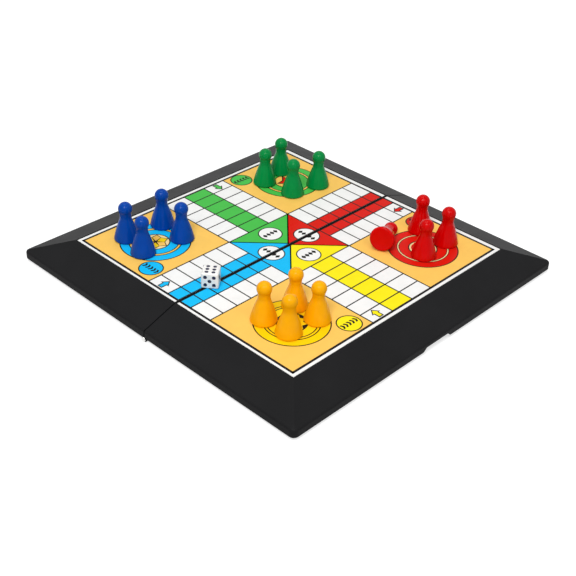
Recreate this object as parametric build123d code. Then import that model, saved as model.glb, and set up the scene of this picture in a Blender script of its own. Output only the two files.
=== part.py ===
from build123d import *
import math
import os

# Folding ludo board box: a two-part hinged case laid open flat, printed faces up, with its pawns and
# die standing on it. Millimetres. X runs along the seam, +Y to the rear half, Z = 0 is the lowest point
# of the hinge knuckles, which stand a little below the rims.

# The case, open flat
case_side = 236.5  # outside, both ways
case_height = 13.75  # from the rim up to the lip round the print
wall_height = 5.35  # upright part of the outer wall, up to the sharp shoulder
wall = 1.8
corner_radius = 3.5
shoulder_radius = 1.6
rim_radius = 0.8
seam_gap = 0.8  # between the two halves' seam walls

# The printed sheets and the pocket that they lie in
print_side = 188.0
sheet_thickness = 0.35
pocket_depth = 0.5
pocket_clearance = 0.4
outer_lip = 0.6  # from the pocket to where the slope starts
seam_lip = 0.45  # from the pocket to the seam wall's face

# The hinges, one at each end of the seam
knuckle_radius = 1.9
knuckle_length = 8.0
knuckle_count = 3
knuckle_side_gap = 0.3
knuckle_relief = 0.25  # radial room round the other half's knuckles
pivot_drop = 0.1  # the hinge line lies this far below the rims
pin_radius = 0.8
pin_clearance = 0.06
pin_head_radius = 1.5
pin_head_length = 0.9
pin_head_gap = 0.1
pin_chamfer = 0.2
boss_depth = 3.6  # thickening of the seam wall behind the knuckles
boss_straight = 3.0
boss_height = 8.0

# The thumb notches in the closing edges
notch_mouth = 26.0
notch_top = 19.5
notch_depth = 2.8
notch_radius = 0.9

# The snap tongues on the rear half and their grooves in the front half
tongue_spacing = 84.0
tongue_width = 14.0
tongue_thickness = 1.0
tongue_reach = 1.5  # past the rim
tongue_root = 4.9  # up the inside of the wall, into the slope's underside
tongue_gap = 0.25  # to the inner face of the other half's wall
bead_radius = 0.22
bead_drop = 0.9  # below the rim
groove_radius = 0.4

# The pawns
pawn_height = 26.1
head_radius = 4.45
head_join = 32.0  # degrees below the head's equator where the neck meets it
head_round = 3.0  # in the corner under the head
neck_radius = 3.45  # where the bell meets the neck
neck_drop = 6.15  # from the head's middle down to there
neck_round = 8.0
waist_radius = 6.25  # half-way up the bell
foot_radius = 8.2  # out to the sharp corner, before the toe is rounded
toe_radius = 1.2
lying_clearance = 0.1

# The die
die_side = 10.5
die_edge_radius = 1.1
pip_radius = 1.2
pip_depth = 0.4
pip_pitch = 2.6
six_gap = 2.05  # from the six's middle to each of its rows
six_pitch = 3.1  # along those rows

# Where the pieces stand: x and y of each pawn's axis
pawn_spots = {
    "blue": [(-70.4, 74.6), (-73.9, 54.2), (-43.0, 72.5), (-45.2, 51.1)],
    "green": [(45.8, 69.0), (65.6, 73.3), (48.8, 45.2), (70.3, 41.9)],
    "yellow": [(-69.6, -46.9), (-46.8, -49.2), (-47.2, -67.5), (-68.4, -65.4)],
    "red": [(74.4, -44.8), (74.1, -65.7), (51.5, -65.8)],
}
lying_spot = (36.3, -43.7)  # middle of the foot of the red pawn that lies on its side
lying_turn = 23.0  # degrees from +X to where its head points
die_spot = (-66.6, 0.4)
die_turn = -51.7

# Worked out from the above
case_half = case_side / 2
print_half = print_side / 2
plateau_half = print_half + pocket_clearance + outer_lip
slope = math.atan((case_height - wall_height) / (case_half - plateau_half))
rim_z = knuckle_radius + pivot_drop
pivot_z = rim_z - pivot_drop
seam_face = seam_gap / 2
pocket_start = seam_face + seam_lip
pocket_floor = case_height - pocket_depth
play_z = rim_z + pocket_floor + sheet_thickness  # where the pawns stand
lip_z = rim_z + case_height  # the die stands across the seam, on the two lips
hinge_length = knuckle_count * knuckle_length + (knuckle_count - 1) * knuckle_side_gap


def hipped_block(inset, floor, roof, shoulder_round=0.0, rim_round=0.0):
    """Upright walls under a hipped slope, moved in by inset from the case's skin, from floor to roof.

    The corners are round below the slope's foot: each is the wall's section turned about an upright
    axis. Above them the slopes meet in sharp hips.
    """
    core = case_half - corner_radius
    reach = corner_radius - inset
    shoulder = wall_height + inset * math.tan(slope) - inset / math.cos(slope)
    apex = shoulder + reach * math.tan(slope)
    roof_half = core - (roof - apex) / math.tan(slope)

    section = make_face(Polyline((0, floor), (reach, floor), (reach, shoulder), (0, apex), close=True))
    if shoulder_round:
        section = fillet(section.vertices().sort_by_distance((reach, shoulder))[0], shoulder_round)
    if rim_round:
        section = fillet(section.vertices().sort_by_distance((reach, floor))[0], rim_round)
    post = revolve(Plane.XZ * section, Axis.Z)
    side = Pos(core, 0, 0) * extrude(Plane.XZ * section, core, both=True)

    block = Pos(0, 0, (apex + floor) / 2) * Box(2 * core, 2 * core, apex - floor)
    for quarter in range(4):
        turn = Rot(0, 0, 90 * quarter)
        block += [turn * side, turn * Pos(core, core, 0) * post]
    gable = make_face(
        Polyline((-core, apex), (core, apex), (roof_half, roof), (-roof_half, roof), close=True)
    )
    hip_x = extrude(Plane.XZ * gable, core, both=True)
    hip_y = extrude(Plane.YZ * gable, core, both=True)
    return block + (hip_x & hip_y)


def rear_space(start, height):
    """Everything behind the plane Y = start, up to the height."""
    size = 2 * case_side
    return Pos(0, start + size / 2, 0) * Box(size, size, 2 * height)


def thumb_notch():
    """The cutter for the finger room in the closing edge, at the middle of the rear wall."""
    outline = make_face(
        Polyline(
            (-notch_mouth / 2, -notch_depth),
            (-notch_mouth / 2, 0),
            (-notch_top / 2, notch_depth),
            (notch_top / 2, notch_depth),
            (notch_mouth / 2, 0),
            (notch_mouth / 2, -notch_depth),
            close=True,
        )
    )
    outline = fillet(outline.vertices().filter_by_position(Axis.Y, 0.1, 2 * notch_depth), notch_radius)
    return Pos(0, case_half, 0) * extrude(Plane.XZ * outline, 2 * wall, both=True)


def knuckles(half_name, radius, side_room=0.0):
    """Cylinders on the hinge line where that half has its knuckles, at both ends of the seam."""
    rods = []
    for index in range(knuckle_count):
        owner = "rear" if index % 2 else "front"
        if owner != half_name:
            continue
        middle = case_half - knuckle_length / 2 - index * (knuckle_length + knuckle_side_gap)
        for end in (-1, 1):
            rod = Cylinder(radius, knuckle_length + 2 * side_room)
            rods.append(Pos(end * middle, 0, -pivot_drop) * Rot(0, 90, 0) * rod)
    return rods


def hinge_boss():
    """The seam wall's thickening behind the knuckles, at both ends of the rear half."""
    section = make_face(
        Polyline(
            (seam_face, 0),
            (boss_depth, 0),
            (boss_depth, boss_straight),
            (seam_face + wall, boss_height),
            (seam_face, boss_height),
            close=True,
        )
    )
    length = hinge_length - wall / 2
    rib = extrude(Plane.YZ * section, length)
    return [Pos(case_half - hinge_length, 0, 0) * rib, Pos(wall / 2 - case_half, 0, 0) * rib]


def plain_half():
    """What both halves share, built as the rear one: a hollow tray with its pocket and notch."""
    skin = hipped_block(0, 0, case_height, shoulder_radius, rim_radius)
    tray = skin & rear_space(seam_face, 2 * case_height)
    hollow = hipped_block(wall, -rim_radius, pocket_floor - wall)
    tray -= hollow & rear_space(seam_face + wall, 2 * case_height)
    pocket_length = print_half + pocket_clearance - pocket_start
    pocket = Box(2 * (print_half + pocket_clearance), pocket_length, 2 * pocket_depth)
    tray -= Pos(0, pocket_start + pocket_length / 2, case_height) * pocket
    tray -= thumb_notch()
    for rib in hinge_boss():
        tray += rib & skin
    return tray


def hinged(tray, half_name):
    """Adds that half's knuckles, and makes room for the other half's knuckles and for the pins."""
    other = "front" if half_name == "rear" else "rear"
    for cutter in knuckles(other, knuckle_radius + knuckle_relief, knuckle_side_gap):
        tray -= cutter
    for knuckle in knuckles(half_name, knuckle_radius):
        tray += knuckle
    bore = Rot(0, 90, 0) * Cylinder(pin_radius + pin_clearance, hinge_length + knuckle_side_gap)
    for end in (-1, 1):
        tray -= Pos(end * (case_half - hinge_length / 2), 0, -pivot_drop) * bore
    return tray


def tongue():
    """One snap tongue at the middle of the rear wall, with a bead near its tip."""
    inner_face = case_half - wall
    outside = inner_face - tongue_gap
    inside = outside - tongue_thickness
    blade = Box(tongue_width, outside - inside, tongue_root + tongue_reach)
    blade = Pos(0, (outside + inside) / 2, (tongue_root - tongue_reach) / 2) * blade
    root_height = tongue_root - 2 * tongue_gap
    root = Box(tongue_width, inner_face - inside, root_height)
    blade += Pos(0, (inner_face + inside) / 2, tongue_root - root_height / 2) * root
    bead = Rot(0, 90, 0) * Cylinder(bead_radius, tongue_width)
    return blade + Pos(0, outside, -bead_drop) * bead


def tongue_groove():
    """The groove in the front half's wall that takes the bead when the case is shut."""
    groove = Rot(0, 90, 0) * Cylinder(groove_radius, tongue_width + 4 * tongue_gap)
    return Pos(0, wall - case_half, bead_drop - 2 * pivot_drop) * groove


def rear_half_shell():
    tray = hinged(plain_half(), "rear")
    for side in (-1, 1):
        tray += Pos(side * tongue_spacing / 2, 0, 0) * tongue()
    return Pos(0, 0, rim_z) * tray


def front_half_shell():
    tray = hinged(mirror(plain_half(), about=Plane.XZ), "front")
    for side in (-1, 1):
        tray -= Pos(side * tongue_spacing / 2, 0, 0) * tongue_groove()
    return Pos(0, 0, rim_z) * tray


def print_sheet():
    """The rear half's printed sheet, lying in its pocket."""
    start = pocket_start + pocket_clearance / 2
    sheet = Box(print_side, print_half - start, sheet_thickness)
    return Pos(0, (print_half + start) / 2, play_z - sheet_thickness / 2) * sheet


def hinge_pin():
    """The pin at the +X end of the seam, its round head outside."""
    shank_length = hinge_length + pin_head_gap
    shank = Rot(0, 90, 0) * Cylinder(pin_radius, shank_length)
    shank = chamfer(shank.edges().sort_by(Axis.X)[0], pin_chamfer)
    head = Rot(0, 90, 0) * Cylinder(pin_head_radius, pin_head_length)
    head = fillet(head.edges().sort_by(Axis.X)[-1], 0.6 * pin_head_length)
    inner_end = case_half - hinge_length
    pin = Pos(inner_end + shank_length / 2, 0, 0) * shank
    pin += Pos(inner_end + shank_length + pin_head_length / 2, 0, 0) * head
    return Pos(0, 0, pivot_z) * pin


def pawn():
    """A turned pawn standing on Z = 0: flat foot, bell body, neck and ball head."""
    head_z = pawn_height - head_radius
    neck_z = head_z - neck_drop
    join = math.radians(head_join)
    join_point = (head_radius * math.cos(join), head_z - head_radius * math.sin(join))
    foot = Line((0, 0), (foot_radius, 0))
    bell = ThreePointArc((foot_radius, 0), (waist_radius, neck_z / 2), (neck_radius, neck_z))
    neck = Line((neck_radius, neck_z), join_point)
    head = ThreePointArc(join_point, (head_radius, head_z), (0, pawn_height))
    axis = Line((0, pawn_height), (0, 0))
    section = make_face([foot, bell, neck, head, axis])
    corners = [
        ((foot_radius, 0), toe_radius),
        ((neck_radius, neck_z), neck_round),
        (join_point, head_round),
    ]
    for corner, radius in corners:
        section = fillet(section.vertices().sort_by_distance(corner)[0], radius)
    return revolve(Plane.XZ * section, Axis.Z)


def lying_pawn():
    """The pawn on its side, resting on its bell and its head."""
    head_z = pawn_height - head_radius
    dip = math.degrees(math.atan2(foot_radius - head_radius, head_z - toe_radius))
    piece = Rot(0, 0, lying_turn) * Rot(0, 90 + dip, 0) * pawn()
    lift = play_z + lying_clearance - piece.bounding_box().min.Z
    return Pos(lying_spot[0], lying_spot[1], lift) * piece


def pip_spots(count):
    """Where the pips of that face stand on it."""
    if count == 6:
        return [(x * six_gap, y * six_pitch) for x in (-1, 1) for y in (-1, 0, 1)]
    spots = [(0, 0)] if count % 2 else []
    if count > 1:
        spots += [(-pip_pitch, -pip_pitch), (pip_pitch, pip_pitch)]
    if count > 3:
        spots += [(-pip_pitch, pip_pitch), (pip_pitch, -pip_pitch)]
    return spots


def die():
    """The die across the seam, with ball-cut pips: opposite faces add up to seven."""
    cube = Box(die_side, die_side, die_side)
    cube = fillet(cube.edges(), die_edge_radius)
    ball_radius = (pip_radius**2 + pip_depth**2) / (2 * pip_depth)
    ball = Sphere(ball_radius)
    ball_lift = die_side / 2 + ball_radius - pip_depth
    face_turns = {
        6: Rot(0, 0, 0),
        1: Rot(180, 0, 0),
        5: Rot(90, 0, 0),
        2: Rot(-90, 0, 0),
        3: Rot(0, 90, 0),
        4: Rot(0, -90, 0),
    }
    for count, turn in face_turns.items():
        for x, y in pip_spots(count):
            cube -= turn * Pos(x, y, ball_lift) * ball
    return Pos(die_spot[0], die_spot[1], lip_z + die_side / 2) * Rot(0, 0, die_turn) * cube


def all_pieces():
    """Every piece by the name of its node."""
    sheet = print_sheet()
    pin = hinge_pin()
    pieces = {
        "rear_half_shell": rear_half_shell(),
        "front_half_shell": front_half_shell(),
        "rear_print_sheet": sheet,
        "front_print_sheet": mirror(sheet, about=Plane.XZ),
        "right_hinge_pin": pin,
        "left_hinge_pin": mirror(pin, about=Plane.YZ),
        "die": die(),
        "red_pawn_lying": lying_pawn(),
    }
    standing = pawn()
    for colour, spots in pawn_spots.items():
        for number, (x, y) in enumerate(spots, start=1):
            pieces[f"{colour}_pawn_{number}"] = Pos(x, y, play_z) * standing
    return pieces


os.makedirs("parts", exist_ok=True)
for name, piece in all_pieces().items():
    export_step(piece, f"parts/{name}.step")
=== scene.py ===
"""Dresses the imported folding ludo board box: its finishes, its printed board, pawns and die."""

import math

import bmesh
import bpy
from mathutils import Matrix, Vector


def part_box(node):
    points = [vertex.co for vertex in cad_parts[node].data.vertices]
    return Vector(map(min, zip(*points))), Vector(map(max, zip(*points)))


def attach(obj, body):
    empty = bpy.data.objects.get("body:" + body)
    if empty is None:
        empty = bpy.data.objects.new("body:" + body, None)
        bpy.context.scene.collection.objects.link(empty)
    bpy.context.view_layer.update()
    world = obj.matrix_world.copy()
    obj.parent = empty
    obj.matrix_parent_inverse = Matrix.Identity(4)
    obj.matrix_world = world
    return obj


bl_info = {
    "name": "Folding Ludo Board Box",
    "version": (1, 0, 0),
    "blender": (4, 5, 0),
    "location": "3D View > Sidebar > Ludo",
    "description": "Finishes, printed board, pawns and die for a folding ludo box",
    "category": "Object",
}

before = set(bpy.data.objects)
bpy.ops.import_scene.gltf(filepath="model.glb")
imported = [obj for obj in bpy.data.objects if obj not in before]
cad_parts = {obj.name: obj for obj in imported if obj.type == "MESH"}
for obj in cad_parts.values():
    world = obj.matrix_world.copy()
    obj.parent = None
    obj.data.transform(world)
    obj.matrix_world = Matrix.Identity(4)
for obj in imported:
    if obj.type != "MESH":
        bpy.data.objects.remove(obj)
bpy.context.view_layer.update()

MM = 0.001
SHEET_LOW, SHEET_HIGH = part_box("rear_print_sheet")
DIE_LOW, DIE_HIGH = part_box("die")
HALVES = ("rear", "front")

# The players sit at the left, the rear, the right and the front of the board.
PLAYERS = ("blue", "green", "red", "yellow")

# Each player's way round: the direction from the middle to the player's own arm, and the side on which
# the player's yard and first cell lie, which is the next player's direction.
ARMS = {
    "blue": ((-1, 0), (0, 1)),
    "green": ((0, 1), (1, 0)),
    "red": ((1, 0), (0, -1)),
    "yellow": ((0, -1), (-1, 0)),
}

# Layers of ink, counted from the film up. An outlined disc takes the layer given and the next one.
GROUND = 0
LINES = 1
DISCS = 2
BAND = 3
MARKS = 4
MOTIF = 5

CIRCLE_SEGMENTS = 96
WAVE_RADIANS = 20  # what Blender's wave texture runs through in one unit of its scaled coordinate


def linear(code):
    """The linear colour of an sRGB hex code such as #ff8800."""
    parts = [int(code[i : i + 2], 16) / 255 for i in (1, 3, 5)]
    return tuple(c / 12.92 if c <= 0.04045 else ((c + 0.055) / 1.055) ** 2.4 for c in parts)


def length(label, text, millimetres):
    """A length that is written in millimetres and kept in metres."""
    return bpy.props.FloatProperty(
        name=label, description=text, default=millimetres * MM, unit="LENGTH", precision=5
    )


def lengths(label, text, millimetres):
    """Four lengths at once: towards the left, the rear, the right and the front."""
    return bpy.props.FloatVectorProperty(
        name=label,
        description=text,
        default=[value * MM for value in millimetres],
        size=4,
        unit="LENGTH",
        precision=5,
    )


def colour(label, text, code):
    """A colour that is written as an sRGB hex code and kept linear."""
    return bpy.props.FloatVectorProperty(
        name=label, description=text, default=linear(code), subtype="COLOR", min=0, max=1, size=3
    )


def angle(label, text, degrees):
    """An angle that is written in degrees and kept in radians."""
    return bpy.props.FloatProperty(
        name=label, description=text, default=math.radians(degrees), subtype="ANGLE"
    )


def count(label, text, number):
    return bpy.props.IntProperty(name=label, description=text, default=number, min=1)


def light(label, text, strength):
    return bpy.props.FloatProperty(name=label, description=text, default=strength, min=0)


# Sizes and colours that a user would change


class CaseProperties(bpy.types.PropertyGroup):
    """The moulded case and its hinge pins."""

    plastic: colour("Plastic", "Colour of the moulded case", "#212122")
    grain: length("Grain", "Size of the mould's spark-eroded grain", 0.45)
    steel: colour("Pin steel", "Colour of the hinge pins", "#d8d8d6")
    wire_mark: length("Drawing marks", "Spacing of the fine marks round the pins", 0.75398)


class BoardProperties(bpy.types.PropertyGroup):
    """The printed board. Sizes are those of the whole board, across both halves."""

    step: length("Ink step", "Thickness of one layer of ink", 0.012)
    shift_x: length("Shift along the seam", "How far off the case's middle the print sits", 0.2)
    shift_y: length("Shift across the seam", "How far off the seam the print's middle sits", 0.45)
    apart: length("Halves apart", "How far the cut moves each half's print from the seam", 1.0)
    border: lengths("Border", "To the middle of the line round the print", (91.85, 89.75, 90.25, 90.65))
    border_line: length("Border line", "Width of the line round the print", 1.6)
    square: lengths("Middle square", "To the sides of the middle square", (26.2, 26.65, 26.4, 25.65))
    lane: length("Home lane", "Half the width of the coloured lanes", 8.95)
    # The black line along the cut is painted shade: black ink that widens the dark of the gap between the
    # halves.
    seam_shade_from: length("Cut line, from", "Front edge of the black line along the cut", -0.6)
    seam_shade_to: length("Cut line, to", "Rear edge of the black line along the cut", 0.1)
    cells: count("Cells", "Cells in an arm's row", 6)
    line: length("Cell line", "Width of the lines between cells", 0.88)
    outline: length("Outline", "Width of the line round discs and arrows", 0.75)
    yard_out: lengths("Yard disc, outward", "Along its own arm", (59.8, 58.5, 58.3, 58.7))
    yard_side: lengths("Yard disc, sideways", "Beside its own arm", (58.2, 58.85, 59.4, 59.55))
    yard_ring: length("Yard disc", "Radius of the disc in each yard", 22.5)
    band: length("Band", "Outer radius of the pale band in a yard disc", 16.1)
    band_width: length("Band width", "Width of the pale band", 1.1)
    band_line: length("Band line", "Width of the lines beside the pale band", 0.7)
    hub: length("Hub", "Radius of the motif in the middle of a yard disc", 9.3)
    home_disc: length("Home disc", "Radius of the white discs in the middle", 7.95)
    home_at: length("Home disc place", "Distance of the white discs from the middle", 15.9)
    start_disc: length("Start disc", "Radius of the start discs", 7.75)
    start_out: length("Start disc, outward", "Distance of a start disc along its own arm", 81.4)
    start_side: length("Start disc, sideways", "Distance of a start disc beside its own arm", 36.5)
    chevrons: count("Chevrons", "Chevrons on a start disc", 5)
    chevron_pitch: length("Chevron pitch", "From one chevron to the next", 2.6)
    chevron_height: length("Chevron height", "From a chevron's point to its arms' ends", 1.9)
    chevron_width: length("Chevron width", "Half of a chevron's width along the row", 1.2)
    chevron_stroke: length("Chevron stroke", "Width of a chevron's arms along the row", 1.4)
    diamonds: count("Diamonds", "Diamonds on a home disc", 4)
    diamond_pitch: length("Diamond pitch", "From one diamond to the next", 3.0)
    diamond_height: length("Diamond height", "Half of a diamond's height", 2.0)
    diamond_width: length("Diamond width", "Half of a diamond's width along the row", 1.5)
    arrow: length("Arrow", "Length of the arrows in the first cells", 8.4)
    film: colour("Film", "The white printed film", "#f6f6f4")
    black: colour("Black ink", "Lines and marks", "#1d1b19")
    yard: colour("Yard ink", "The four corner yards", "#fcc962")
    pale: colour("Pale ink", "Bands and motifs", "#f8dda0")
    blue: colour("Blue ink", "The blue player's print", "#18bff8")
    green: colour("Green ink", "The green player's print", "#4abf4d")
    red: colour("Red ink", "The red player's print", "#db1b0f")
    yellow: colour("Yellow ink", "The yellow player's print", "#fdec1c")
    gold: colour("Gold ink", "The yellow player's yard disc, and motifs", "#fad30e")


class PawnProperties(bpy.types.PropertyGroup):
    """The four colours of the pawns."""

    blue: colour("Blue", "The blue pawns", "#0044a3")
    green: colour("Green", "The green pawns", "#008a42")
    red: colour("Red", "The red pawns", "#d00001")
    yellow: colour("Yellow", "The orange-yellow pawns", "#ffb002")


class DieProperties(bpy.types.PropertyGroup):
    """The die and its painted pips."""

    body: colour("Body", "The die's plastic", "#f4f3f0")
    paint: colour("Pip paint", "The paint in the pips", "#14133a")
    pip_radius: length("Pip radius", "Radius of a pip at the face", 1.2)
    pip_depth: length("Pip depth", "Depth of a pip", 0.4)
    pip_pitch: length("Pip pitch", "From a face's middle to its rows of pips", 2.6)
    six_gap: length("Six gap", "From the six's middle to each of its rows", 2.05)
    six_pitch: length("Six pitch", "Between the pips along the six's rows", 3.1)
    paint_thickness: length("Paint thickness", "Thickness of the paint on a pip's seat", 0.02)
    paint_drop: length("Paint drop", "From the face down to the paint's edge", 0.01)
    turn: angle("Turn", "How the die is turned", -51.7)


class StageProperties(bpy.types.PropertyGroup):
    """The camera, the lamps and the floor."""

    azimuth: angle("Azimuth", "Camera's bearing", -46.95)
    elevation: angle("Elevation", "Camera's height angle", 33.76)
    roll: angle("Roll", "Camera's roll", 2.24)
    view_angle: angle("View angle", "Camera's field of view", 30.51)
    distance: length("Distance", "From the camera to its aim", 623.4)
    aim_x: length("Aim X", "Where the camera aims, along the seam", -36.0)
    aim_y: length("Aim Y", "Where the camera aims, across the seam", -33.35)
    floor: colour("Floor", "The pale floor", "#bdbdbd")
    floor_radius: length("Floor radius", "Radius of the floor", 4000)
    glow: light("Glow", "How far the seen floor is whitened", 0.68)
    key: light("Key", "Power of the left softbox", 13.2)
    top: light("Top", "Power of the overhead softbox", 5.0)
    side: light("Side", "Power of the right softbox", 3.3)
    fill: light("Fill", "Strength of the world's light", 0.22)


PROPERTIES = {
    "ludo_case": CaseProperties,
    "ludo_board": BoardProperties,
    "ludo_pawn": PawnProperties,
    "ludo_die": DieProperties,
    "ludo_stage": StageProperties,
}


# Name, setting with the power, diameter and place in metres. Every softbox points at the origin.
SOFTBOXES = (
    ("Left softbox", "key", 0.5, (-0.8, -0.45, 1.2)),
    ("Overhead softbox", "top", 0.8, (0.1, 0.25, 1.35)),
    ("Right softbox", "side", 0.8, (-0.15, -1.0, 1.25)),
)


# Nodes and materials


def add_node(tree, kind, links=(), **settings):
    """Adds a node. settings are sockets by name or the node's own options; links are (input, output)."""
    node = tree.nodes.new(kind)
    for name, value in settings.items():
        if hasattr(node, name):
            setattr(node, name, value)
        else:
            node.inputs[name.replace("_", " ")].default_value = value
    for name, output in links:
        tree.links.new(node.inputs[name], output)
    return node


def new_material(name, rgb, roughness, **constants):
    """A material with its shader's constant sockets set, and the object's coordinates to draw on."""
    material = bpy.data.materials.new(name)
    material.use_nodes = True
    tree = material.node_tree
    shader = tree.nodes["Principled BSDF"]
    shader.inputs["Base Color"].default_value = (*rgb, 1)
    shader.inputs["Roughness"].default_value = roughness
    for socket, value in constants.items():
        shader.inputs[socket.replace("_", " ")].default_value = value
    place = tree.nodes.new("ShaderNodeTexCoord").outputs["Object"]
    return material, tree, shader, place


def mottle(tree, shader, place, rgb, size, amount):
    """Varies the colour a little, as pigment and ink do, over patches of that size."""
    noise = add_node(
        tree, "ShaderNodeTexNoise", [("Vector", place)], Scale=1 / size, Detail=3.0, Roughness=0.55
    )
    ramp = add_node(tree, "ShaderNodeValToRGB", [("Fac", noise.outputs["Fac"])])
    stops = ((0.3, 1 - amount), (0.7, 1 + amount))
    for element, (position, share) in zip(ramp.color_ramp.elements, stops):
        element.position = position
        element.color = (*(min(1, c * share) for c in rgb), 1)
    tree.links.new(shader.inputs["Base Color"], ramp.outputs["Color"])


def uneven_gloss(tree, shader, place, size, low, high):
    """Lets the roughness wander between two values, as handling and moulding leave it."""
    noise = add_node(tree, "ShaderNodeTexNoise", [("Vector", place)], Scale=1 / size, Detail=2.0)
    spread = add_node(
        tree, "ShaderNodeMapRange", [("Value", noise.outputs["Fac"])], To_Min=low, To_Max=high
    )
    tree.links.new(shader.inputs["Roughness"], spread.outputs["Result"])


def grain_bump(tree, shader, place, size, depth, strength):
    """A fine even grain of that size and depth."""
    noise = add_node(tree, "ShaderNodeTexNoise", [("Vector", place)], Scale=1 / size, Detail=2.0)
    bump = add_node(
        tree, "ShaderNodeBump", [("Height", noise.outputs["Fac"])], Strength=strength, Distance=depth
    )
    tree.links.new(shader.inputs["Normal"], bump.outputs["Normal"])


def spark_textured_abs(case):
    """ABS moulded in a spark-eroded tool: an even fine grain that spreads reflections into a sheen."""
    material, tree, shader, place = new_material(
        "Spark textured ABS", case.plastic, 0.42, Specular_IOR_Level=0.028
    )
    mottle(tree, shader, place, case.plastic, size=30 * MM, amount=0.08)
    uneven_gloss(tree, shader, place, size=18 * MM, low=0.36, high=0.46)
    # The real grain is about 0.05 mm; it is drawn coarser so that it shows.
    grain_bump(tree, shader, place, case.grain, depth=0.02 * MM, strength=0.35)
    return material


def bright_drawn_steel(case):
    """Bright drawn steel wire: metallic, with fine marks round the pin where it was cut and domed."""
    material, tree, shader, place = new_material("Bright drawn steel", case.steel, 0.25, Metallic=1.0)
    # The real marks are much finer; they are drawn this coarse so that they show.
    wave = add_node(
        tree,
        "ShaderNodeTexWave",
        [("Vector", place)],
        bands_direction="X",
        Scale=math.tau / (case.wire_mark * WAVE_RADIANS),
        Distortion=1.5,
    )
    bump = add_node(
        tree, "ShaderNodeBump", [("Height", wave.outputs["Fac"])], Strength=0.2, Distance=0.01 * MM
    )
    tree.links.new(shader.inputs["Normal"], bump.outputs["Normal"])
    return material


def printed_film(name, rgb):
    """Semi-gloss laminated print: flat colour under a clear film with a slight orange peel."""
    material, tree, shader, place = new_material(name, rgb, 0.34, Specular_IOR_Level=0.06)
    mottle(tree, shader, place, rgb, size=6 * MM, amount=0.025)
    uneven_gloss(tree, shader, place, size=25 * MM, low=0.3, high=0.4)
    grain_bump(tree, shader, place, size=1.6 * MM, depth=0.01 * MM, strength=0.25)
    return material


def moulded_styrene(name, rgb):
    """Injection-moulded polystyrene: clean saturated colour with a satin gloss."""
    material, tree, shader, place = new_material(name, rgb, 0.22, Specular_IOR_Level=0.1)
    mottle(tree, shader, place, rgb, size=4 * MM, amount=0.04)
    uneven_gloss(tree, shader, place, size=5 * MM, low=0.18, high=0.25)
    grain_bump(tree, shader, place, size=0.5 * MM, depth=0.008 * MM, strength=0.2)
    return material


def polished_resin(rgb):
    """Cast and tumbled urea resin: dense white with a polished skin."""
    material, tree, shader, place = new_material("Tumbled urea resin", rgb, 0.2, IOR=1.54)
    mottle(tree, shader, place, rgb, size=3 * MM, amount=0.02)
    uneven_gloss(tree, shader, place, size=3 * MM, low=0.15, high=0.25)
    return material


def pip_enamel(rgb):
    """Enamel run into the drilled pips: dark and glossy, pooled a little unevenly."""
    material, tree, shader, place = new_material("Pip enamel", rgb, 0.22)
    mottle(tree, shader, place, rgb, size=0.8 * MM, amount=0.15)
    return material


# Meshes


def add_object(name, data):
    """A new object in the scene, at the origin, that holds that mesh, lamp or camera."""
    added = bpy.data.objects.new(name, data)
    bpy.context.scene.collection.objects.link(added)
    return added


def new_mesh(bm, name, material):
    """Turns a bmesh into a mesh of that material."""
    mesh = bpy.data.meshes.new(name)
    bm.to_mesh(mesh)
    bm.free()
    mesh.materials.append(material)
    return mesh


def finish_piece(bm, name, material, body, smooth=False):
    """Turns a bmesh into a piece that rides on a body and takes its finish from a slot."""
    mesh = new_mesh(bm, name, material)
    if smooth:
        mesh.shade_smooth()
    piece = add_object(name, mesh)
    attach(piece, body)


def join(bm, part, matrix=Matrix.Identity(4)):
    """Adds a finished bmesh to another one, moved by the matrix."""
    part.transform(matrix)
    mesh = bpy.data.meshes.new("joined")
    part.to_mesh(mesh)
    part.free()
    bm.from_mesh(mesh)
    bpy.data.meshes.remove(mesh)


def turned(across, up):
    """A matrix that turns a shape drawn with its top towards +Y so that it points along (across, up)."""
    return Matrix.Rotation(math.atan2(-across, up), 4, "Z")


# The printed board: flat plates of ink, laid in layers on the white film


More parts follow.
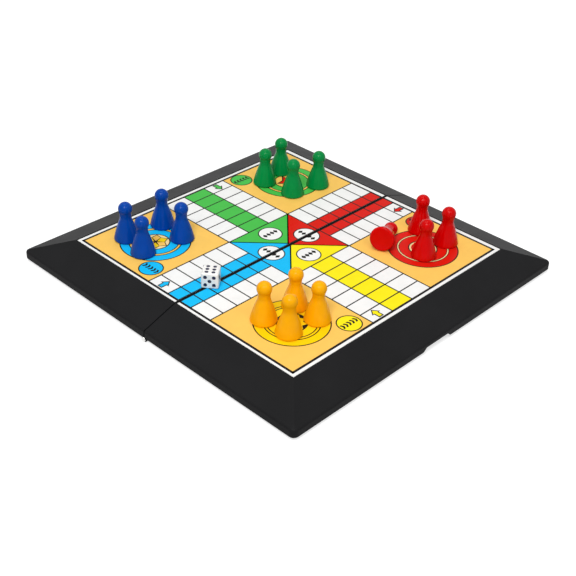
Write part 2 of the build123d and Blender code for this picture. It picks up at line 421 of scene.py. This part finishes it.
class Press:
    """Collects plates of ink by colour, cuts them at the seam and lays them on the two sheets."""

    def __init__(self, board):
        self.board = board
        self.inks = {}

    def plate(self, ink, layer, face_maker, matrix=Matrix.Identity(4)):
        """Extrudes the flat faces that face_maker draws into one plate of ink on that layer."""
        part = bmesh.new()
        face_maker(part)
        extruded = bmesh.ops.extrude_face_region(part, geom=part.faces[:])["geom"]
        raised = [v for v in extruded if isinstance(v, bmesh.types.BMVert)]
        bmesh.ops.translate(part, verts=raised, vec=(0, 0, self.board.step))
        bmesh.ops.recalc_face_normals(part, faces=part.faces[:])
        board = self.board
        lift = Matrix.Translation((board.shift_x, board.shift_y, SHEET_HIGH.z + layer * board.step))
        join(self.inks.setdefault(ink, bmesh.new()), part, lift @ matrix)

    def disc(self, ink, layer, radius, x, y, segments=CIRCLE_SEGMENTS):
        def draw(part):
            bmesh.ops.create_circle(part, cap_ends=True, segments=segments, radius=radius)

        self.plate(ink, layer, draw, Matrix.Translation((x, y, 0)))

    def ring(self, ink, layer, outer, inner, x, y):
        def draw(part):
            for radius in (outer, inner):
                bmesh.ops.create_circle(part, segments=CIRCLE_SEGMENTS, radius=radius)
            bmesh.ops.bridge_loops(part, edges=part.edges[:])

        self.plate(ink, layer, draw, Matrix.Translation((x, y, 0)))

    def polygon(self, ink, layer, corners, matrix=Matrix.Identity(4)):
        def draw(part):
            part.faces.new([part.verts.new((x, y, 0)) for x, y in corners])

        self.plate(ink, layer, draw, matrix)

    def rectangle(self, ink, layer, x0, x1, y0, y1):
        self.polygon(ink, layer, [(x0, y0), (x1, y0), (x1, y1), (x0, y1)])

    def stroke(self, ink, layer, start, end, width):
        """A straight line of ink from start to end."""
        run = Vector(end) - Vector(start)
        side = run.orthogonal().normalized() * width / 2
        corners = [Vector(start) + side, Vector(start) - side, Vector(end) - side, Vector(end) + side]
        self.polygon(ink, layer, corners)

    def outlined(self, ink, layer, radius, x, y):
        """A disc with the usual black outline."""
        self.disc("black", layer, radius, x, y)
        self.disc(ink, layer + 1, radius - self.board.outline, x, y)

    def pieces(self, materials):
        """Cuts every ink at the seam and rides each side's share on its half."""
        for ink, whole in self.inks.items():
            for half, outward in zip(HALVES, (1, -1)):
                part = whole.copy()
                part.transform(Matrix.Translation((0, outward * self.board.apart, 0)))
                cut = bmesh.ops.bisect_plane(
                    part,
                    geom=part.verts[:] + part.edges[:] + part.faces[:],
                    plane_co=(0, outward * SHEET_LOW.y, 0),
                    plane_no=(0, outward, 0),
                    clear_inner=True,
                )
                seam = [e for e in cut["geom_cut"] if isinstance(e, bmesh.types.BMEdge)]
                bmesh.ops.edgenet_fill(part, edges=seam)
                bmesh.ops.recalc_face_normals(part, faces=part.faces[:])
                if part.faces:
                    finish_piece(
                        part, f"{half}_{ink}_ink", materials[ink], f"{half}_half"
                    )
                else:
                    part.free()
            whole.free()


def own(four, player, turn=0):
    """The player's own one of four lengths, or that of the player so many places further round."""
    return four[(PLAYERS.index(player) + turn) % 4]


def on_arm(player, along, across):
    """The board's x and y of a place so far along the player's arm and so far to its yard's side."""
    out, side = ARMS[player]
    return (out[0] * along + side[0] * across, out[1] * along + side[1] * across)


def middle(board):
    """The middle of the middle square."""
    left, rear, right, front = board.square
    return (right - left) / 2, (rear - front) / 2


def home_place(board, player):
    """Where the player's home disc lies."""
    x, y = middle(board)
    out = ARMS[player][0]
    return x + out[0] * board.home_at, y + out[1] * board.home_at


def facing(player, x, y, shift=0.0):
    """A matrix for a shape at x, y whose top points inwards along the player's arm, moved sideways."""
    out = ARMS[player][0]
    return Matrix.Translation((x, y, 0)) @ turned(-out[0], -out[1]) @ Matrix.Translation((shift, 0, 0))


def print_arm(press, player):
    """One arm: its coloured lane, its home triangle with the white disc, and its cell lines."""
    board = press.board
    lane, start = board.lane, own(board.square, player)
    near, far = -own(board.square, player, -1), own(board.square, player, 1)
    border = own(board.border, player)
    x, y = middle(board)

    lane_corners = [(start, -lane), (border, -lane), (border, lane), (start, lane)]
    press.polygon(player, GROUND, [on_arm(player, *corner) for corner in lane_corners])
    press.polygon(player, GROUND, [(x, y), on_arm(player, start, near), on_arm(player, start, far)])
    press.outlined("film", DISCS, board.home_disc, *home_place(board, player))

    for across in (near, -lane, lane, far):
        ends = [on_arm(player, along, across) for along in (start, border)]
        press.stroke("black", LINES, *ends, board.line)
    pitch = (border + board.border_line / 2 - start) / board.cells
    for cell in range(board.cells):
        ends = [on_arm(player, start + cell * pitch, across) for across in (near, far)]
        press.stroke("black", LINES, *ends, board.line)
    for across in (near, far):
        press.stroke("black", LINES, (x, y), on_arm(player, start, across), board.line)


def print_arrow(press, player):
    """The arrow in the first cell beside the lane, pointing inwards."""
    board = press.board
    start, border = own(board.square, player), own(board.border, player)
    cell = (border - start) / board.cells
    across = (own(board.square, player, 1) + board.lane) / 2
    matrix = facing(player, *on_arm(player, border - cell / 2, across))
    size = board.arrow
    shaft_share, head_share, neck_share = 0.23, 0.42, 0.02
    # How far the fill draws back from the black shape's corners, in widths of the outline.
    tip_inset, head_inset, neck_inset = 1.5, 1.7, 0.6
    for ink, layer, inset in (("black", DISCS, 0.0), (player, DISCS + 1, board.outline)):
        tip = size / 2 - tip_inset * inset
        tail = inset - size / 2
        neck = neck_inset * inset - neck_share * size
        half_shaft = shaft_share * size - inset
        half_head = head_share * size - head_inset * inset
        corners = [
            (half_shaft, tail),
            (half_shaft, neck),
            (half_head, neck),
            (0, tip),
            (-half_head, neck),
            (-half_shaft, neck),
            (-half_shaft, tail),
        ]
        press.polygon(ink, layer, corners, matrix)


def print_row(press, player, x, y, marks, pitch, corners):
    """A row of equal black marks across a disc."""
    for index in range(marks):
        shift = (index - (marks - 1) / 2) * pitch
        press.polygon("black", MARKS, corners, facing(player, x, y, shift))


def print_start(press, player):
    """The start disc in the yard, with a row of plain chevrons across it."""
    board = press.board
    x, y = on_arm(player, board.start_out, board.start_side)
    press.outlined(player, DISCS, board.start_disc, x, y)
    tall, wide, stroke = board.chevron_height, board.chevron_width, board.chevron_stroke
    chevron = [
        (-wide, tall),
        (stroke - wide, tall),
        (wide, 0),
        (stroke - wide, -tall),
        (-wide, -tall),
        (wide - stroke, 0),
    ]
    print_row(press, player, x, y, board.chevrons, board.chevron_pitch, chevron)


def print_home(press, player):
    """A row of plain diamonds across the white disc in the home triangle."""
    board = press.board
    x, y = home_place(board, player)
    tall, wide = board.diamond_height, board.diamond_width
    diamond = [(0, -tall), (wide, 0), (0, tall), (-wide, 0)]
    print_row(press, player, x, y, board.diamonds, board.diamond_pitch, diamond)


def star(points, outer, inner):
    """The corners of a star with that many points, one of them towards +Y."""
    corners = []
    for index in range(2 * points):
        radius = inner if index % 2 else outer
        bearing = math.pi * index / points
        corners.append((radius * math.sin(bearing), radius * math.cos(bearing)))
    return corners


def turned_place(x, y, degrees):
    """A matrix for a shape at x, y that is turned by so much."""
    return Matrix.Translation((x, y, 0)) @ Matrix.Rotation(math.radians(degrees), 4, "Z")


def blue_hub(press, hub, x, y):
    """Six outlined petals, by turns of two inks."""
    first_turn = 14.324
    edge = 0.07 * hub
    # How far the fill draws back from the black petal's two points, in widths of its edge.
    root_inset, tip_inset = 1.6, 1.4
    tip, waist, half_width = 0.94 * hub, 0.52 * hub, 0.36 * hub
    for petal, ink in enumerate(("gold", "yard") * 3):
        matrix = turned_place(x, y, first_turn + 60 * petal)
        for fill, layer, inset in (("black", MOTIF, 0.0), (ink, MOTIF + 1, edge)):
            corners = [
                (0, root_inset * inset),
                (half_width - inset, waist),
                (0, tip - tip_inset * inset),
                (inset - half_width, waist),
            ]
            press.polygon(fill, layer, corners, matrix)


def green_hub(press, hub, x, y):
    """A four-pointed star inside another, round a small disc."""
    matrix = turned_place(x, y, -18)
    press.polygon("black", MOTIF, star(4, 0.9 * hub, 0.42 * hub), matrix)
    press.polygon("red", MOTIF + 1, star(4, 0.72 * hub, 0.32 * hub), matrix)
    press.disc("gold", MOTIF + 2, 0.18 * hub, x, y, CIRCLE_SEGMENTS // 2)


def red_hub(press, hub, x, y):
    """A disc under a square whose corners reach the outline. The ground shows between the corners."""
    reach = hub - press.board.outline
    press.disc("red", MOTIF, 0.8 * hub, x, y)
    press.polygon("red", MOTIF + 1, star(2, reach, reach), turned_place(x, y, -10))


def yellow_hub(press, hub, x, y):
    """A ten-pointed star."""
    press.polygon("gold", MOTIF, star(10, 0.94 * hub, 0.68 * hub), turned_place(x, y, 0))


# The ink under each player's motif, and the motif.
HUBS = {
    "blue": ("pale", blue_hub),
    "green": ("yard", green_hub),
    "red": ("pale", red_hub),
    "yellow": ("black", yellow_hub),
}


def print_hub(press, player, x, y):
    """The motif in the middle of a yard: a plain rosette, different for each player."""
    ground, motif = HUBS[player]
    press.outlined(ground, BAND, press.board.hub, x, y)
    motif(press, press.board.hub, x, y)


def print_yard(press, player):
    """A corner yard with its big disc, its pale band and its motif."""
    board = press.board
    start, near = own(board.square, player), own(board.square, player, 1)
    border, far = own(board.border, player), own(board.border, player, 1)
    corners = [(start, near), (border, near), (border, far), (start, far)]
    press.polygon("yard", GROUND, [on_arm(player, *corner) for corner in corners])
    x, y = on_arm(player, own(board.yard_out, player), own(board.yard_side, player))
    press.outlined("gold" if player == "yellow" else player, LINES, board.yard_ring, x, y)
    # The band and the dark lines beside it are thinner on the red disc.
    share = 0.65 if player == "red" else 1.0
    outer, inner = board.band, board.band - board.band_width * share
    line = board.band_line * share
    press.ring("black", BAND, outer + line, inner - line, x, y)
    press.ring({"red": "pale", "yellow": "gold"}.get(player, "yard"), BAND + 1, outer, inner, x, y)
    return x, y


def print_border(press):
    """The line round the board, and a black strip along the cut that is painted shade of the gap between the
    halves.
    """
    board = press.board
    for player in PLAYERS:
        along = own(board.border, player)
        near, far = (own(board.border, player, turn) + board.border_line / 2 for turn in (-1, 1))
        ends = [on_arm(player, along, across) for across in (-near, far)]
        press.stroke("black", LINES, *ends, board.border_line)
    left, _, right, _ = board.border
    # Painted shade: black ink beside the cut that stands in for the shade in the gap between the halves.
    press.rectangle("black", MOTIF, -left, right, board.seam_shade_from, board.seam_shade_to)


# Pawns and die


def pip_spots(die, pips):
    """Where the pips of the face with that many stand on it."""
    if pips == 6:
        return [(x * die.six_gap, y * die.six_pitch) for x in (-1, 1) for y in (-1, 0, 1)]
    pitch = die.pip_pitch
    spots = [(0, 0)] if pips % 2 else []
    if pips > 1:
        spots += [(-pitch, -pitch), (pitch, pitch)]
    if pips > 3:
        spots += [(-pitch, pitch), (pitch, -pitch)]
    return spots


def pip_caps(die):
    """The paint in all pips: a shallow bowl in each, just above the drilled ball seat."""
    radius = (die.pip_radius**2 + die.pip_depth**2) / (2 * die.pip_depth)
    half = (DIE_HIGH.z - DIE_LOW.z) / 2
    faces = {
        6: Matrix.Identity(4),
        1: Matrix.Rotation(math.pi, 4, "X"),
        5: Matrix.Rotation(math.pi / 2, 4, "X"),
        2: Matrix.Rotation(-math.pi / 2, 4, "X"),
        3: Matrix.Rotation(math.pi / 2, 4, "Y"),
        4: Matrix.Rotation(-math.pi / 2, 4, "Y"),
    }
    whole = bmesh.new()
    for pips, turn in faces.items():
        for x, y in pip_spots(die, pips):
            cap = bmesh.new()
            bmesh.ops.create_uvsphere(
                cap, u_segments=32, v_segments=64, radius=radius - die.paint_thickness
            )
            bmesh.ops.bisect_plane(
                cap,
                geom=cap.verts[:] + cap.edges[:] + cap.faces[:],
                plane_co=(0, 0, die.pip_depth - radius - die.paint_drop),
                plane_no=(0, 0, 1),
                clear_outer=True,
            )
            bmesh.ops.reverse_faces(cap, faces=cap.faces[:])
            join(whole, cap, turn @ Matrix.Translation((x, y, half + radius - die.pip_depth)))
    centre = (DIE_LOW + DIE_HIGH) / 2
    whole.transform(Matrix.Translation(centre) @ Matrix.Rotation(die.turn, 4, "Z"))
    return whole


# Operators


def dress_node(node, material):
    """Gives a CAD node its material."""
    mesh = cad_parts[node].data
    mesh.materials.clear()
    mesh.materials.append(material)


class LUDO_OT_stage(bpy.types.Operator):
    """Adds the floor, the lamps and the camera"""

    bl_idname = "ludo.stage"
    bl_label = "Stage"

    def execute(self, context):
        stage = context.scene.ludo_stage
        context.scene.view_settings.view_transform = "Standard"
        self.add_camera(context, stage)
        self.add_world(context, stage)
        self.add_floor(stage)
        for name, setting, diameter, place in SOFTBOXES:
            self.add_softbox(name, getattr(stage, setting), diameter, Vector(place))
        return {"FINISHED"}

    def add_camera(self, context, stage):
        aim = Vector((stage.aim_x, stage.aim_y, SHEET_HIGH.z))
        flat = math.cos(stage.elevation)
        back = Vector(
            (math.sin(stage.azimuth) * flat, -math.cos(stage.azimuth) * flat, math.sin(stage.elevation))
        )
        camera = add_object("Camera", bpy.data.cameras.new("Camera"))
        camera.data.angle = stage.view_angle
        upright = back.to_track_quat("Z", "Y").to_matrix().to_4x4()
        turn = Matrix.Rotation(stage.roll, 4, "Z")
        camera.matrix_world = Matrix.Translation(aim + back * stage.distance) @ upright @ turn
        context.scene.camera = camera

    def seen_directly(self, tree):
        """1 for a camera, mirror or glass ray and 0 for the light on everything else."""
        shown = tree.nodes.new("ShaderNodeLightPath").outputs
        seen = shown["Is Camera Ray"]
        for other in ("Is Glossy Ray", "Is Transmission Ray"):
            seen = add_node(
                tree, "ShaderNodeMath", [(0, seen), (1, shown[other])], operation="MAXIMUM"
            ).outputs[0]
        return seen

    def add_world(self, context, stage):
        """White where a camera, mirror or glass ray sees it, and a soft fill for everything else."""
        world = bpy.data.worlds.new("Studio")
        world.use_nodes = True
        context.scene.world = world
        tree = world.node_tree
        strength = add_node(
            tree, "ShaderNodeMapRange", [("Value", self.seen_directly(tree))], To_Min=stage.fill, To_Max=1.0
        )
        background = tree.nodes["Background"]
        background.inputs["Color"].default_value = (1, 1, 1, 1)
        tree.links.new(background.inputs["Strength"], strength.outputs["Result"])

    def add_floor(self, stage):
        """A painted floor that keeps shadows and is whitened where a camera, mirror or glass ray sees it."""
        material, tree, shader, _ = new_material("Studio floor", stage.floor, 0.8)
        glow = add_node(tree, "ShaderNodeMath", [(0, self.seen_directly(tree))], operation="MULTIPLY")
        glow.inputs[1].default_value = stage.glow
        shader.inputs["Emission Color"].default_value = (1, 1, 1, 1)
        tree.links.new(shader.inputs["Emission Strength"], glow.outputs[0])
        bm = bmesh.new()
        bmesh.ops.create_circle(bm, cap_ends=True, segments=64, radius=stage.floor_radius)
        floor = add_object("Floor", new_mesh(bm, "Floor", material))

    def add_softbox(self, name, power, diameter, place):
        lamp = bpy.data.lights.new(name, "AREA")
        lamp.shape = "DISK"
        lamp.size = diameter
        lamp.energy = power
        aim = place.to_track_quat("Z", "Y").to_matrix().to_4x4()
        add_object(name, lamp).matrix_world = Matrix.Translation(place) @ aim


class LUDO_OT_case(bpy.types.Operator):
    """Finishes the moulded shells, the printed sheets and the hinge pins"""

    bl_idname = "ludo.case"
    bl_label = "Case"

    def execute(self, context):
        case = context.scene.ludo_case
        plastic = spark_textured_abs(case)
        steel = bright_drawn_steel(case)
        film = printed_film("Laminated white film", context.scene.ludo_board.film)
        for half in HALVES:
            dress_node(f"{half}_half_shell", plastic)
            dress_node(f"{half}_print_sheet", film)
        for end in ("left", "right"):
            dress_node(f"{end}_hinge_pin", steel)
        return {"FINISHED"}


class LUDO_OT_print(bpy.types.Operator):
    """Prints the board on the two sheets"""

    bl_idname = "ludo.print"
    bl_label = "Printed board"

    def execute(self, context):
        board = context.scene.ludo_board
        press = Press(board)
        for player in PLAYERS:
            x, y = print_yard(press, player)
            print_hub(press, player, x, y)
            print_arm(press, player)
            print_arrow(press, player)
            print_start(press, player)
            print_home(press, player)
        print_border(press)
        inks = {
            name: printed_film(f"Offset {name} ink", getattr(board, name))
            for name in (*PLAYERS, "gold", "black", "yard", "pale", "film")
        }
        press.pieces(inks)
        return {"FINISHED"}


class LUDO_OT_pawns(bpy.types.Operator):
    """Gives the pawns their coloured plastics"""

    bl_idname = "ludo.pawns"
    bl_label = "Pawns"

    def execute(self, context):
        pawn = context.scene.ludo_pawn
        for player in PLAYERS:
            plastic = moulded_styrene(f"Moulded {player} polystyrene", getattr(pawn, player))
            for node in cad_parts:
                if node.startswith(f"{player}_pawn"):
                    dress_node(node, plastic)
        return {"FINISHED"}


class LUDO_OT_die(bpy.types.Operator):
    """Finishes the die and paints its pips"""

    bl_idname = "ludo.die"
    bl_label = "Die"

    def execute(self, context):
        die = context.scene.ludo_die
        dress_node("die", polished_resin(die.body))
        finish_piece(pip_caps(die), "die_pip_paint", pip_enamel(die.paint), "die", True)
        return {"FINISHED"}


OPERATORS = (LUDO_OT_stage, LUDO_OT_case, LUDO_OT_print, LUDO_OT_pawns, LUDO_OT_die)


class LUDO_PT_sidebar(bpy.types.Panel):
    """Lists the steps that dress the box"""

    bl_idname = "LUDO_PT_sidebar"
    bl_label = "Ludo box"
    bl_space_type = "VIEW_3D"
    bl_region_type = "UI"
    bl_category = "Ludo"

    def draw(self, context):
        for operator in OPERATORS:
            self.layout.operator(operator.bl_idname)
        for name, group in PROPERTIES.items():
            box = self.layout.box()
            for setting in group.__annotations__:
                box.prop(getattr(context.scene, name), setting)


def register():
    for cls in (*PROPERTIES.values(), *OPERATORS, LUDO_PT_sidebar):
        bpy.utils.register_class(cls)
    for name, group in PROPERTIES.items():
        setattr(bpy.types.Scene, name, bpy.props.PointerProperty(type=group))


def unregister():
    for name in PROPERTIES:
        delattr(bpy.types.Scene, name)
    for cls in (LUDO_PT_sidebar, *OPERATORS, *PROPERTIES.values()):
        bpy.utils.unregister_class(cls)


def main():
    register()
    ludo = bpy.ops.ludo
    for step in (ludo.stage, ludo.case, ludo.print, ludo.pawns, ludo.die):
        if step() != {"FINISHED"}:
            raise RuntimeError(f"{step.idname()} did not finish")


if __name__ == "__main__":
    main()
